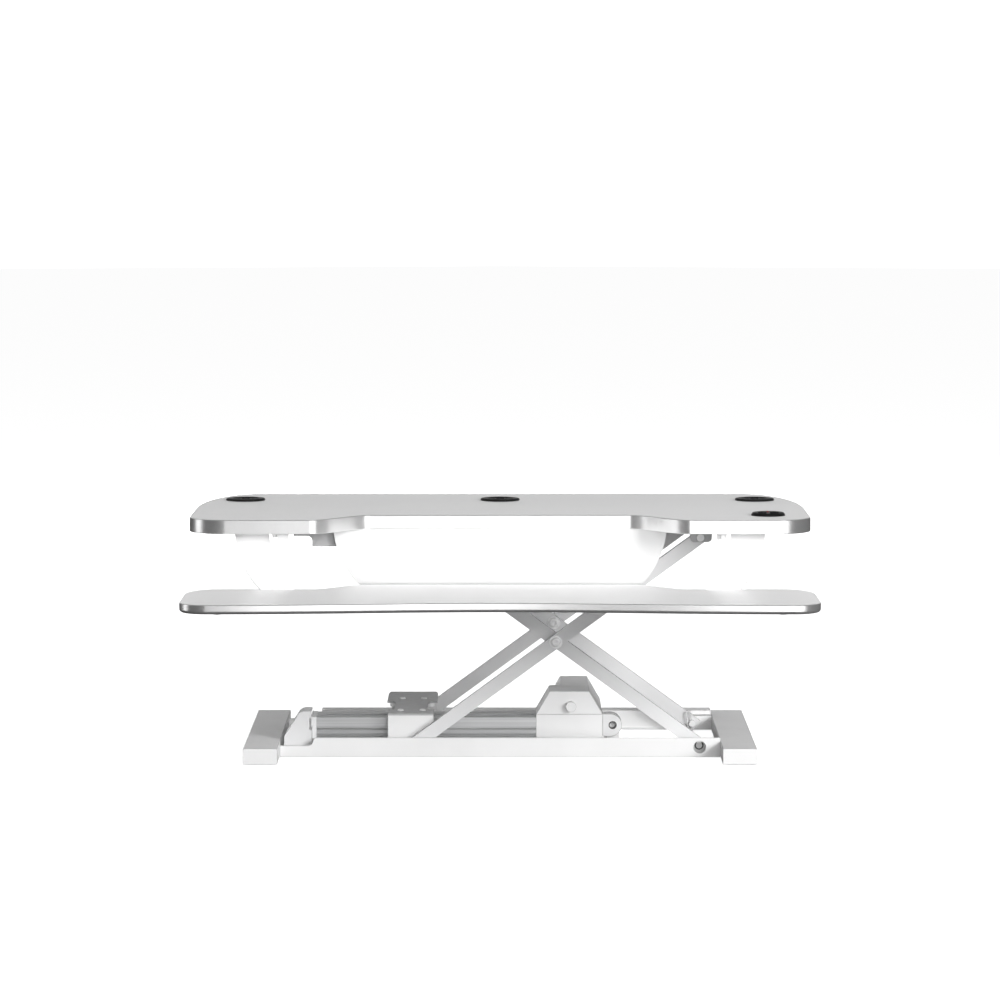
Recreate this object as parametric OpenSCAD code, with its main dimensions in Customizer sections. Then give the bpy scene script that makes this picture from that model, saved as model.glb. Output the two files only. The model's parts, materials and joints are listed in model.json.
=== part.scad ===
// Electric standing desk converter: a worktop and a keyboard tray on a straight-lift scissor frame.
// X runs to the right, Y to the back, Z up. The origin lies on the desk, under the middle of the
// outline. "Behind" means the distance back from the front faces of the two feet.

/* [Worktop] */
// Width of the worktop and of the keyboard tray
worktop_w = 1219; // [1190:1:1250]
// Depth of the worktop at its wings
worktop_d = 610; // [600:1:640]
// Thickness of the worktop
worktop_t = 27.5; // [22:0.5:30]
// How far the wings reach forward of the recess
recess_d = 108; // [90:1:115]
// Height of the worktop's surface above the desk in the modelled pose
worktop_z = 484.5; // [480:0.5:492]
// Radius of a cable grommet's flange
grommet_r = 40; // [34:1:44]
// Radius of the round control pad
pad_r = 33.5; // [30:0.5:36]

/* [Keyboard tray] */
// Thickness of the tray
tray_t = 18; // [12:1:20]
// Gap between the tray's surface and the worktop's underside
tray_drop = 108.5; // [106:0.5:112]
// How far the tray reaches forward of the worktop
tray_reach = 278; // [260:1:300]

/* [Base] */
// Distance over the two feet
base_w = 1009; // [990:1:1020]
// Length of a foot, front to back
foot_l = 573; // [565:1:585]
// Width of a foot
foot_w = 67.5; // [60:0.5:70]
// Height of a foot's top above the desk
foot_h = 33; // [30:1:36]
// Height of the rails that join the feet
rail_h = 40; // [38:1:44]

/* [Scissor] */
// Distance between the end pivots of a scissor arm
arm_l = 707; // [702:1:712]
// Height of an arm's tube
arm_h = 26; // [24:1:28]
// Width of an arm's tube, front to back
arm_w = 20; // [16:1:20]
// Distance of the fixed pivots from the middle of the frame
pivot_x = 396; // [392:1:398]
// Height of the lower pivots above the desk
pivot_z = 21; // [20:0.5:22]

/* [Actuator] */
// Width of the actuator's rail, front to back
rail_w = 90; // [84:1:92]
// Height of the actuator rail's top above the desk
rail_top = 71.6; // [70:0.1:72]
// Radius of the lead screw
screw_r = 8; // [6:0.5:8]
// Length of the carriage along the rail
carriage_l = 91; // [80:1:100]

/* [Hidden] */
$fn = 64;

sheet = 3;                                   // steel sheet of rails and brackets
gap = 0.3;                                   // clearance between sliding faces
fit = 0.05;                                  // radial clearance of a running fit

// Places along Y
back_y = (worktop_d + tray_reach) / 2;
wing_y = back_y - worktop_d;
foot_y = wing_y + 18;
function behind(d) = foot_y + d;
recess_y = wing_y + recess_d;
mid_y = behind(310);                         // middle of the scissor frame
inner_y = 159;                               // inner arms, from mid_y
outer_y = inner_y + arm_w + 2;               // outer arms, from mid_y
web_y = behind(106.5);                       // front rail
beam_y = 2 * mid_y - web_y - sheet;          // rear beam's front face
beam_d = 50;
access_r = 11.9;                             // access holes in front of the lower pivots

// Heights
under_z = worktop_z - worktop_t;             // underside of the worktop
top_pivot_z = under_z - 19;
tray_z = under_z - tray_drop;                // surface of the tray
foot_x = base_w / 2;
foot_in = foot_x - foot_w;
notch_z = 24;                                // the rails are lower beside the left foot
pad_t = 2;                                   // rubber pads under the feet

// Scissor geometry in the modelled pose
lift = asin((top_pivot_z - pivot_z) / arm_l);
slide_x = pivot_x - arm_l * cos(lift);
arm_end = 11;                                // tube beyond an end pivot
pin_r = 6.5;
hinge_r = 6;
tube_t = 2.5;

// Actuator
act_y = behind(173);                         // front face of the actuator
act_z0 = 31;                                 // underside of its rail
screw_y = act_y + rail_w / 2;
screw_z = 53;
box_x0 = 72;                                 // gearbox housing
box_x1 = 205;
box_z = 77.6;
box_d = 100;
hump_x0 = 99;
hump_x1 = 178;
hump_z = 124;
rear_x0 = 96;                                // motor cover, narrower on its left
rear_d = 148;
clevis_r = 22.5;
clevis_z = 56;
clevis_x = 225;
clevis_d = 40;                                // depth of the clevis, front to back
clevis_y = act_y + clevis_d / 2;             // its middle
clevis_slot = 14;
clevis_pin_r = 6.4;
bush_t = 1.2;                                // wall of the clevis's bushes
motor_x = 140;
motor_z = 87;
plug_x = motor_x + 1.6;
plug_z = 94;
plug_r = 9;                                  // hole for the plug in the gearbox cover
bracket_x = -375;                            // end bracket's right wall
bracket_x0 = -429;                           // its left edge
bracket_z = 90;
cap_t = 8;                                   // end plate of the actuator's rail
top_t = 2.5;                                 // thinner sheet under the worktop

// Plastic pieces on the worktop
grommet_y = behind(434);
grommet_x = [-521, 0, 521];
grommet_hole_r = grommet_r - 9;
pad_x = 528.3;
pad_y = behind(88);
button_gap = 12;
button_r = 8.5;

white = [0.93, 0.93, 0.93];
pearl = [0.84, 0.85, 0.86];
grey = [0.66, 0.66, 0.67];
steel = [0.72, 0.73, 0.75];
alloy = [0.62, 0.63, 0.65];
black = [0.05, 0.05, 0.055];

// ---------- helpers ----------

// A block between two corners
module block(x, y, z) {
    translate([x[0], y[0], z[0]]) cube([x[1] - x[0], y[1] - y[0], z[1] - z[0]]);
}

// Draws an X-Z outline as a plate between two places on Y
module plate(y0, y1) {
    translate([0, y1, 0]) rotate([90, 0, 0]) linear_extrude(y1 - y0) children();
}

// Draws a Y-Z outline as a profile between two places on X
module profile(x0, x1) {
    translate([x0, 0, 0]) rotate([90, 0, 90]) linear_extrude(x1 - x0) children();
}

// A round rod along Y
module rod_y(x, z, r, y0, y1) {
    translate([x, y1, z]) rotate([90, 0, 0]) cylinder(r = r, h = y1 - y0);
}

// A round rod along X
module rod_x(y, z, r, x0, x1) {
    translate([x0, y, z]) rotate([0, 90, 0]) cylinder(r = r, h = x1 - x0);
}

// Repeats a piece on the front and the back of the scissor frame
module both_sides() {
    children();
    translate([0, 2 * mid_y, 0]) mirror([0, 1, 0]) children();
}

function arc(cx, cy, rx, ry, a0, a1, n = 12) =
    [for (i = [0:n]) let (a = a0 + (a1 - a0) * i / n) [cx + rx * cos(a), cy + ry * sin(a)]];

// An S-shaped blend between two points, level at both ends
function blend(x0, y0, x1, y1, n = 12) =
    [for (i = [0:n]) let (t = i / n) [x0 + (x1 - x0) * t, y0 + (y1 - y0) * t * t * (3 - 2 * t)]];

function mirrored(points) = [for (i = [len(points) - 1:-1:0]) [-points[i][0], points[i][1]]];

// ---------- base ----------

module foot(x0) {
    difference() {
        block([x0, x0 + foot_w], [behind(3), behind(foot_l - 3)], [pad_t, foot_h]);
        block([x0 + sheet, x0 + foot_w - sheet], [behind(2), behind(foot_l - 2)],
              [pad_t + sheet, foot_h - sheet]);
    }
}

module foot_left() {
    color(white) foot(-foot_x);
}

module foot_right() {
    color(white) foot(foot_in);
}

module foot_cap(x0, y0, y1, plug0, plug1) {
    block([x0, x0 + foot_w], [y0, y1], [pad_t, foot_h]);
    block([x0 + sheet + gap, x0 + foot_w - sheet - gap], [plug0, plug1],
          [pad_t + sheet + gap, foot_h - sheet - gap]);
}

module foot_caps() {
    color(white) for (x0 = [-foot_x, foot_in]) {
        foot_cap(x0, behind(0), behind(3), behind(2.5), behind(14));
        foot_cap(x0, behind(foot_l - 3), behind(foot_l), behind(foot_l - 14), behind(foot_l - 2.5));
    }
}

module foot_pads() {
    color(black) for (x = [-foot_x + foot_w / 2, foot_x - foot_w / 2])
        for (y = [behind(35), behind(foot_l - 35)])
            translate([x, y, 0]) cylinder(r = 18, h = pad_t);
}

// A rail's web, seen from the front: low over the left foot's bracket, full height beyond it
module web_outline() {
    polygon(concat([[foot_in, 1], [foot_in, rail_h]],
                   arc(-365, rail_h - 6, 6, 6, 90, 180, 6),
                   arc(-381, rail_h - 6, 10, rail_h - 6 - notch_z, 0, -90, 6),
                   [[-foot_in, notch_z], [-foot_in, 1]]));
}

module front_rail() {
    color(white) difference() {
        union() {
            plate(web_y, web_y + sheet) web_outline();
            block([-foot_in, foot_in], [web_y + sheet, web_y + 10.5], [1, 1 + sheet]);
        }
        rod_y(pivot_x, pivot_z, access_r, web_y - 1, web_y + sheet + 1);
    }
}

module rear_beam() {
    color(white) difference() {
        union() {
            plate(beam_y, beam_y + sheet) web_outline();
            block([-370, foot_in], [beam_y + sheet, beam_y + beam_d], [rail_h - sheet, rail_h]);
            block([-foot_in, foot_in], [beam_y - 7.5, beam_y], [1, 1 + sheet]);
            block([-370, foot_in], [beam_y + beam_d - sheet, beam_y + beam_d],
                  [rail_h / 2, rail_h - sheet]);
        }
        rod_y(pivot_x, pivot_z, access_r, beam_y - 1, beam_y + sheet + 1);
    }
}

// The bracket that ties the actuator rail to the left foot, seen from the front
module bracket_outline(drop) {
    polygon(concat([[bracket_x - 8, 5]],
                   arc(bracket_x - 8, 13, 8, 8, -90, 0, 6),
                   [[bracket_x, bracket_z - drop]],
                   arc(-388, bracket_z - drop - 16, 16, 16, 90, 147, 6),
                   [[bracket_x0, 40 - drop], [bracket_x0, 5]]));
}

module end_bracket() {
    color(white) union() {
        difference() {
            plate(behind(125), behind(125) + sheet) bracket_outline(0);
            bracket_notch();
        }
        block([-foot_in, bracket_x], [behind(127), behind(192)], [5, 5 + sheet]);
        plate(behind(127), behind(192)) difference() {
            bracket_outline(0);
            bracket_outline(sheet);
        }
        difference() {
            block([bracket_x - sheet, bracket_x], [behind(127), act_y + rail_w], [5, rail_top + 2]);
            for (y = bolt_places) rod_x(y, act_z0 + 6, 3.5, bracket_x - sheet - 1, bracket_x + 1);
            bracket_notch();
        }
    }
}

stop_z = 55.6;                               // underside of the rail's end stop

// Room in the end bracket for the rail's end stop
module bracket_notch() {
    block([bracket_x - 4, bracket_x + 1], [behind(124), act_y], [stop_z - 3, rail_top + 5]);
}

bolt_places = [act_y + 12, act_y + rail_w - 12];

module rail_bolts() {
    color(steel) for (y = bolt_places) {
        rod_x(y, act_z0 + 6, 5.5, bracket_x - sheet - 4, bracket_x - sheet);
        rod_x(y, act_z0 + 6, 3.4, bracket_x - sheet, bracket_x + 3);
    }
}

// Cross-section of the drawn aluminium rail: a slotted top, grooves along its sides
module rail_section() {
    difference() {
        translate([act_y, act_z0]) square([rail_w, rail_top - act_z0]);
        translate([act_y + 9, act_z0 + 4]) square([rail_w - 18, rail_top - act_z0 - 9]);
        translate([screw_y - 14, rail_top - 6]) square([28, 7]);
        for (y = [act_y - 1, act_y + rail_w - 6]) {
            translate([y, act_z0 + 17]) square([7, 2.5]);
            translate([y, act_z0 + 2]) square([7, 4.5]);
        }
        for (y = [act_y - 1, act_y + rail_w - 1]) translate([y, act_z0 + 8]) square([2, 8]);
    }
}

module actuator_rail() {
    color(alloy) profile(bracket_x + cap_t, box_x0) rail_section();
}

// The rail's end plate, with the end stop at its front
module rail_end_cap() {
    color(white) difference() {
        union() {
            block([bracket_x, bracket_x + cap_t], [act_y, act_y + rail_w],
                  [act_z0 - 2, rail_top + 1]);
            block([bracket_x - 2, bracket_x + 6.5], [act_y - 4, act_y], [stop_z, rail_top + 1]);
        }
        rod_x(screw_y, screw_z, 6 + fit, bracket_x - 1, bracket_x + cap_t + 1);
        for (y = bolt_places) rod_x(y, act_z0 + 6, 3.5, bracket_x - 1, bracket_x + cap_t + 1);
    }
}

module gearbox_housing() {
    color(white) difference() {
        block([box_x0, box_x1], [act_y, act_y + box_d], [10, box_z]);
        block([box_x0 + sheet, box_x1 - sheet], [act_y + sheet, act_y + box_d - sheet],
              [10 + sheet, box_z + 1]);
        rod_x(screw_y, screw_z, screw_r + 1, box_x0 - 1, box_x0 + sheet + 1);
    }
}

module hump(x0, t) {
    polygon([[x0 + t, box_z], [x0 + hump_x0 - box_x0 + t * 0.6, hump_z - t],
             [hump_x1 - t * 0.6, hump_z - t], [box_x1 - t, box_z]]);
}

// Its back wall closes the step beside the narrower motor cover
module gearbox_cover() {
    color(white) difference() {
        plate(act_y, act_y + box_d) hump(box_x0, 0);
        translate([0, 0, -0.01]) plate(act_y + sheet, act_y + box_d - sheet) hump(box_x0, sheet);
        translate([0, 0, -0.01]) plate(act_y + sheet, act_y + box_d + 1) hump(rear_x0, sheet);
        rod_y(plug_x, plug_z, plug_r, act_y - 1, act_y + sheet + 1);
    }
}

module gearbox_plug() {
    color(white) union() {
        rod_y(plug_x, plug_z, plug_r + 1.3, act_y - 11.7, act_y);
        rod_y(plug_x, plug_z, plug_r - fit, act_y - 1, act_y + 5);
    }
}

module motor_cover() {
    y0 = act_y + box_d;
    color(white) difference() {
        union() {
            plate(y0, y0 + rear_d) hump(rear_x0, 0);
            block([rear_x0, box_x1], [y0, y0 + rear_d], [10, box_z]);
        }
        translate([0, 0, -0.01]) plate(y0 - 1, y0 + rear_d - sheet) hump(rear_x0, sheet);
        block([rear_x0 + sheet, box_x1 - sheet], [y0 - 1, y0 + rear_d - sheet],
              [10 + sheet, box_z + 0.01]);
    }
}

module motor() {
    y0 = act_y + box_d + 6;
    color(steel) difference() {
        union() {
            rod_y(motor_x, motor_z, 30, y0, y0 + 118);
            rod_y(motor_x, motor_z, 12, y0 + 118, y0 + 126);
            rod_y(motor_x, motor_z, 12, y0 - 5, y0);
        }
        rod_y(motor_x, motor_z, 4 + fit, y0 - 6, y0 + 20);
    }
}

module actuator_clevis() {
    color(white) difference() {
        plate(act_y, act_y + clevis_d) union() {
            translate([box_x1, clevis_z - clevis_r]) square([15.5, 2 * clevis_r]);
            translate([box_x1 + 15.5, clevis_z]) circle(r = clevis_r);
            translate([box_x1 - 0.01, clevis_z - clevis_r]) square([1, 2 * clevis_r]);
        }
        block([box_x1 - 50, box_x1], [act_y - 1, act_y + clevis_d + 1], [0, 100]);
        block([box_x1 + 5, box_x1 + 60],
              [clevis_y - clevis_slot / 2, clevis_y + clevis_slot / 2], [0, 100]);
        rod_y(clevis_x, clevis_z, clevis_pin_r + bush_t, act_y - 1, act_y + clevis_d + 1);
    }
}

module actuator_mount() {
    color(steel) difference() {
        union() {
            plate(clevis_y - 5, clevis_y + 5) union() {
                translate([clevis_x, clevis_z]) circle(r = 13);
                translate([clevis_x - 13, 4]) square([26, clevis_z - 4]);
            }
            block([clevis_x - 13, clevis_x + 13], [web_y + sheet, beam_y], [4, 7]);
        }
        rod_y(clevis_x, clevis_z, clevis_pin_r, clevis_y - 6, clevis_y + 6);
    }
}

arm_face = mid_y - inner_y - arm_w / 2;      // outer face of the front inner arm

lug_t = 5;
lug_left = 18;                               // how far a lug reaches left of its pin
lug_low = 4;
lug_fold = 30;                               // underside of the lug's top fold
lug_top = 33;
bush_r = 8.8;                                // nylon flange, clear of the lug's top fold
bush_flange = 1.5;

// Folded brackets beside the inner arms, which hold the fixed lower pivots
module pivot_lugs() {
    color(white) both_sides() difference() {
        union() {
            block([pivot_x - lug_left, foot_in], [arm_face - gap - lug_t, arm_face - gap],
                  [lug_low, lug_top]);
            block([pivot_x - lug_left, foot_in], [web_y + sheet, arm_face - gap],
                  [lug_fold, lug_top]);
        }
        rod_y(pivot_x, pivot_z, pin_r + fit, arm_face - 6, arm_face);
    }
}

// Nylon flanges round the lower pivots, and the clevis's bushes
module pivot_bushes() {
    color(black) both_sides() difference() {
        rod_y(pivot_x, pivot_z, bush_r, arm_face - gap - lug_t - bush_flange,
              arm_face - gap - lug_t);
        rod_y(pivot_x, pivot_z, pin_r + fit, arm_face - 10, arm_face);
    }
    color(black) difference() {
        union() {
            rod_y(clevis_x, clevis_z, clevis_pin_r + bush_t, act_y, clevis_y - clevis_slot / 2);
            rod_y(clevis_x, clevis_z, clevis_pin_r + bush_t,
                  clevis_y + clevis_slot / 2, act_y + clevis_d);
        }
        rod_y(clevis_x, clevis_z, clevis_pin_r, act_y - 1, act_y + clevis_d + 1);
    }
}

pin_in = 12;                                 // pin beyond the inner arm's inner face
clip_y = arm_face + arm_w + pin_in - 5;
clip_wire = 1.4;

// Places a clip's parts at a pin; turn is the clip's angle round the pin
module at_pin(y, turn) {
    translate([pivot_x, y, pivot_z]) rotate([0, turn, 0]) translate([-1, 0, 0]) children();
}

// The front clip lies down behind the front rail; the rear one stands
module pivot_pins() {
    color(white) difference() {
        rod_y(pivot_x, pivot_z, pin_r, arm_face - 7, arm_face + arm_w + pin_in);
        at_pin(clip_y, -90) translate([0, 0, -20]) cylinder(r = clip_wire + 0.2, h = 40);
    }
    color(white) difference() {
        rod_y(pivot_x, pivot_z, pin_r, 2 * mid_y - arm_face - arm_w - pin_in,
              2 * mid_y - arm_face + 7);
        at_pin(2 * mid_y - clip_y, 0) translate([0, 0, -20]) cylinder(r = clip_wire + 0.2, h = 40);
    }
    color(white) rod_y(clevis_x, clevis_z, clevis_pin_r - fit, clevis_y - 9, clevis_y + 17);
}

// A sprung wire clip: a straight leg through the pin and a bowed one beside it
module hairpin_clip() {
    bow = 6;
    translate([0, 0, -14]) cylinder(r = clip_wire, h = 34);
    translate([-bow, 0, 20]) rotate([90, 0, 0]) rotate_extrude(angle = 180)
        translate([bow, 0]) circle(r = clip_wire, $fn = 24);
    translate([-2 * bow, 0, 20]) rotate([0, 152.6, 0]) cylinder(r = clip_wire, h = 14);
}

module hairpin_clips() {
    color(steel) at_pin(clip_y, -90) hairpin_clip();
    color(steel) at_pin(2 * mid_y - clip_y, 0) hairpin_clip();
}

module lead_screw() {
    color(steel) union() {
        rod_x(screw_y, screw_z, 6, bracket_x + 0.5, bracket_x + cap_t + 0.5);
        rod_x(screw_y, screw_z, screw_r, bracket_x + cap_t + 0.5, motor_x + 20);
    }
}

// The wheel that the motor's worm turns
module screw_gear() {
    teeth = 30;
    color([0.85, 0.82, 0.7]) difference() {
        translate([motor_x - 8, screw_y, screw_z]) rotate([0, 90, 0]) linear_extrude(16)
            polygon([for (i = [0:teeth * 4 - 1])
                let (a = 90 * i / teeth, r = (i % 4 < 2) ? 26.3 : 24) [r * cos(a), r * sin(a)]]);
        rod_x(screw_y, screw_z, screw_r, motor_x - 9, motor_x + 9);
    }
}

module motor_worm() {
    y0 = act_y + box_d;
    color(steel) union() {
        rod_y(motor_x, motor_z, 4, act_y + 8, y0 + 20);
        rod_y(motor_x, motor_z, 7, screw_y - 18, screw_y + 18);
    }
}

// ---------- scissor ----------

// A square-ended tube from (x, z) towards an angle, with sleeves at its three pivots
module arm(x, z, angle, y, r0, r1, r2) {
    translate([x, y, z]) rotate([0, -angle, 0]) difference() {
        union() {
            difference() {
                translate([-arm_end, -arm_w / 2, -arm_h / 2])
                    cube([arm_l + 2 * arm_end, arm_w, arm_h]);
                translate([-arm_end - 1, -arm_w / 2 + tube_t, -arm_h / 2 + tube_t])
                    cube([arm_l + 2 * arm_end + 2, arm_w - 2 * tube_t, arm_h - 2 * tube_t]);
            }
            for (d = [[0, r0], [arm_l / 2, r1], [arm_l, r2]])
                translate([d[0], arm_w / 2, 0]) rotate([90, 0, 0])
                    cylinder(r = d[1] + 2, h = arm_w);
        }
        for (d = [[0, r0], [arm_l / 2, r1], [arm_l, r2]])
            translate([d[0], arm_w / 2 + 1, 0]) rotate([90, 0, 0])
                cylinder(r = d[1] + fit, h = arm_w + 2);
    }
}

module inner_arm(side) {
    color(pearl) arm(pivot_x, pivot_z, 180 - lift, mid_y + side * inner_y, pin_r, pin_r, pin_r);
}

module outer_arm(side) {
    color(pearl) arm(slide_x, pivot_z, lift, mid_y + side * outer_y, pin_r, pin_r, hinge_r);
}

module inner_arm_front() { inner_arm(-1); }
module inner_arm_rear() { inner_arm(1); }
module outer_arm_front() { outer_arm(-1); }
module outer_arm_rear() { outer_arm(1); }

cross_x = (slide_x + pivot_x) / 2;
cross_z = (pivot_z + top_pivot_z) / 2;

// A socket-head bolt along Y; dir is the side that its head faces
module socket_bolt(y_head, length, dir) {
    translate([cross_x, y_head, cross_z]) rotate([dir * 90, 0, 0]) difference() {
        union() {
            cylinder(r = 13.3, h = 6);
            translate([0, 0, -length]) cylinder(r = pin_r, h = length);
        }
        translate([0, 0, 1]) cylinder(r = 6, h = 6, $fn = 6);
    }
}

module center_bolts() {
    color(steel) union() {
        socket_bolt(mid_y - outer_y - arm_w / 2 - gap, 2 * arm_w + 3, 1);
        socket_bolt(mid_y + inner_y - arm_w / 2 - gap, 2 * arm_w + 3, 1);
    }
}

module pivot_washers() {
    color(black) both_sides() difference() {
        rod_y(cross_x, cross_z, 13, mid_y - outer_y + arm_w / 2 + gap,
              mid_y - inner_y - arm_w / 2 - gap);
        rod_y(cross_x, cross_z, pin_r + fit, mid_y - outer_y, mid_y - inner_y);
    }
}

// ---------- carriage ----------

car_x0 = slide_x - carriage_l / 2 - 2.8;
car_x1 = car_x0 + carriage_l;
car_y0 = mid_y - inner_y - arm_w / 2;
car_y1 = mid_y + inner_y + arm_w / 2;
car_z = 80;
cut_y0 = behind(205);                        // the notches in the carriage's two ends
cut_y1 = behind(326);
cut_left = 12;
cut_right = 14;
plate_t = 4;
head_r = 6.5;                                // screw heads on the plate

// A notch with rounded corners, open towards one end of the carriage
module notch(x_open, x_in) {
    r = x_in > x_open ? 7 : -7;
    polygon(concat([[x_open, cut_y0]], arc(x_in - r, cut_y0 + 30, r, 30, -90, 0, 6),
                   arc(x_in - r, cut_y1 - 30, r, 30, 0, 90, 6), [[x_open, cut_y1]]));
}

module carriage_block() {
    color(white) difference() {
        block([car_x0, car_x1], [car_y0, car_y1], [8, car_z]);
        block([car_x0 - 1, car_x1 + 1], [car_y0 + arm_w, car_y1 - arm_w], [7, rail_top + 1.4]);
        translate([0, 0, rail_top]) linear_extrude(car_z) notch(car_x0 - 1, car_x0 + cut_left);
        translate([0, 0, rail_top]) linear_extrude(car_z) notch(car_x1 + 1, car_x1 - cut_right);
        for (y = [car_y0, car_y1 - arm_w])
            rod_y(slide_x, pivot_z, pin_r, y - 1, y + arm_w + 1);
        for (p = screw_places) translate([p[0], p[1], car_z - 7]) cylinder(r = 3.5, h = 8);
    }
}

screw_places = [for (x = [slide_x - 24, slide_x + 20]) for (y = [behind(185), behind(366)]) [x, y]];

// The plate on the carriage: wider behind its notches, with rounded back corners
module carriage_plate() {
    x0 = car_x0 - 6;
    x1 = car_x1 + 5;
    color(grey) translate([0, 0, car_z]) difference() {
        linear_extrude(plate_t) difference() {
            polygon(concat([[car_x0, car_y0], [car_x1, car_y0], [car_x1, cut_y1 - 40],
                            [x1, cut_y1 - 40]],
                           arc(x1 - 5, car_y1 - 55, 5, 55, 0, 90, 8),
                           arc(x0 + 5, car_y1 - 55, 5, 55, 90, 180, 8),
                           [[x0, cut_y1 - 40], [car_x0, cut_y1 - 40]]));
            notch(car_x0 - 10, car_x0 + cut_left);
            notch(car_x1 + 10, car_x1 - cut_right);
        }
        for (p = screw_places) translate([p[0], p[1], -1]) cylinder(r = 4, h = plate_t + 2);
        for (p = screw_places)
            translate([p[0], p[1], plate_t / 2]) cylinder(r = head_r + 1.5, h = plate_t);
    }
}

module carriage_screws() {
    color(steel) for (p = screw_places) translate([p[0], p[1], car_z]) difference() {
        union() {
            translate([0, 0, plate_t / 2]) cylinder(r = head_r, h = 3);
            translate([0, 0, plate_t / 2 + 3]) cylinder(r1 = head_r, r2 = head_r - 1.5, h = 2);
            translate([0, 0, -6]) cylinder(r = 3.4, h = 8.1);
        }
        translate([0, 0, 4.5]) cylinder(r = 3, h = 4, $fn = 6);
    }
}

module carriage_axle() {
    color(steel) both_sides()
        rod_y(slide_x, pivot_z, pin_r, mid_y - outer_y - arm_w / 2 - 6, car_y0 + arm_w);
}

// Nylon shoes that slide along the flanges of the front rail and the rear beam
module glide_shoes() {
    color(black) both_sides() difference() {
        block([slide_x - 16, slide_x + 16], [web_y + sheet + gap, mid_y - outer_y - arm_w / 2 - gap],
              [1 + sheet + gap, 36]);
        rod_y(slide_x, pivot_z, pin_r, web_y, mid_y);
    }
}

module drive_nut() {
    color([0.8, 0.7, 0.4]) difference() {
        union() {
            block([slide_x - 20, slide_x + 20], [screw_y - 22, screw_y + 22], [act_z0 + 7, 64]);
            block([slide_x - 20, slide_x + 20], [screw_y - 10, screw_y + 10],
                  [64, rail_top + 1.4]);
        }
        rod_x(screw_y, screw_z, screw_r + fit, slide_x - 21, slide_x + 21);
    }
}

// ---------- upper sliders ----------

module slider_blocks() {
    color(black) both_sides() union() {
        block([slide_x - 18, slide_x + 18], [web_y + sheet + gap, web_y + 11],
              [rail_low + top_t + gap, under_z - top_t - gap]);
        block([slide_x - 12, slide_x + 12], [web_y + 11, mid_y - inner_y - arm_w / 2 - gap],
              [top_pivot_z - 10, top_pivot_z + 10]);
    }
}

module slider_axle() {
    color(steel) rod_y(slide_x, top_pivot_z, pin_r, mid_y - inner_y - arm_w / 2 - gap,
                       mid_y + inner_y + arm_w / 2 + gap);
}

// ---------- platform ----------

// Worktop outline, set in by t: recess, wings, round front corners and long elliptical back corners
function worktop_half(t) = let (w = worktop_w / 2) concat(
    blend(255, recess_y + t, 372, wing_y + t, 16),
    arc(w - 75, wing_y + 75, 75 - t, 75 - t, -90, 0, 14),
    arc(w - 110, back_y - 330, 110 - t, 330 - t, 0, 90, 24));

module worktop_outline(t) {
    polygon(concat(worktop_half(t), mirrored(worktop_half(t))));
}

module round_holes(extra = 0) {
    for (x = grommet_x) translate([x, grommet_y]) circle(r = grommet_hole_r + extra);
    translate([pad_x, pad_y]) circle(r = 22 + extra);
}

band = 2;

module worktop() {
    color(pearl) translate([0, 0, under_z]) linear_extrude(worktop_t) difference() {
        worktop_outline(band);
        round_holes();
    }
}

module worktop_edge() {
    color(white) translate([0, 0, under_z]) linear_extrude(worktop_t) difference() {
        worktop_outline(0);
        worktop_outline(band);
    }
}

rail_low = under_z - 36;                     // lower edge of the upper rails

// The upper rail's web: the same part as the base's front rail, turned over
module upper_web() {
    polygon(concat([[320, rail_low], [320, under_z], [-408, under_z], [-408, under_z - 15]],
                   arc(-381, under_z - 25, 10, 10, 90, 0, 6), [[-371, rail_low]]));
}

module upper_rail(side) {
    module half() {
        plate(web_y, web_y + sheet) upper_web();
        block([-408, 320], [web_y + sheet, web_y + 10.5], [under_z - top_t, under_z]);
        block([-371, 320], [web_y + sheet, web_y + 10.5], [rail_low, rail_low + top_t]);
    }
    if (side < 0) half();
    if (side > 0) translate([0, 2 * mid_y, 0]) mirror([0, 1, 0]) half();
}

module upper_rail_front() { color(grey) upper_rail(-1); }
module upper_rail_rear() { color(grey) upper_rail(1); }

ear_t = 4;
ear_top = 1.6;                               // thin enough to clear the arms' ends

module ear_outline() {
    polygon(concat([[pivot_x - 20, under_z]],
                   arc(pivot_x - 12, top_pivot_z - 1, 8, 8, 180, 270, 6),
                   arc(pivot_x + 14, top_pivot_z - 1, 9, 8, 270, 340, 6),
                   [[pivot_x + 24, under_z]]));
}

module hinge_brackets() {
    y = mid_y - outer_y - arm_w / 2;
    color(grey) both_sides() difference() {
        union() {
            plate(y - 7, y - 7 + ear_t) ear_outline();
            plate(y + arm_w + 3, y + arm_w + 3 + ear_t) ear_outline();
            block([pivot_x - 20, pivot_x + 24], [y - 7, y + arm_w + 7],
                  [under_z - ear_top, under_z]);
        }
        rod_y(pivot_x, top_pivot_z, hinge_r, y - 8, y + arm_w + 8);
    }
}

module hinge_pins() {
    y = mid_y - outer_y - arm_w / 2;
    color(white) both_sides() union() {
        rod_y(pivot_x, top_pivot_z, 8, y - 11, y - 7);
        rod_y(pivot_x, top_pivot_z, hinge_r, y - 7, y + arm_w + 10);
    }
}

// How far a hung sheet's edge has curved in at a height
function curl(z, level, r) = r - sqrt(r * r - pow(level - z, 2));

cover_y = recess_y + 3;
cover_low = tray_z - 4;
cover_w = 330;

module cover_outline() {
    n = 14;
    edge = [for (i = [0:n]) let (z = cover_low + 6 + (under_z - cover_low - 6) * i / n)
        [cover_w - curl(z, under_z + 18, 190), z]];
    polygon(concat([[cover_w - curl(cover_low, under_z + 18, 190) - 4, cover_low]], edge,
                   mirrored(edge),
                   [[-cover_w + curl(cover_low, under_z + 18, 190) + 4, cover_low]]));
}

module front_cover() {
    color(white) union() {
        plate(cover_y, cover_y + sheet) cover_outline();
        block([-cover_w + 4, cover_w - 4], [cover_y + sheet - 0.01, web_y - 0.5],
              [under_z - top_t, under_z]);
    }
}

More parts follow.
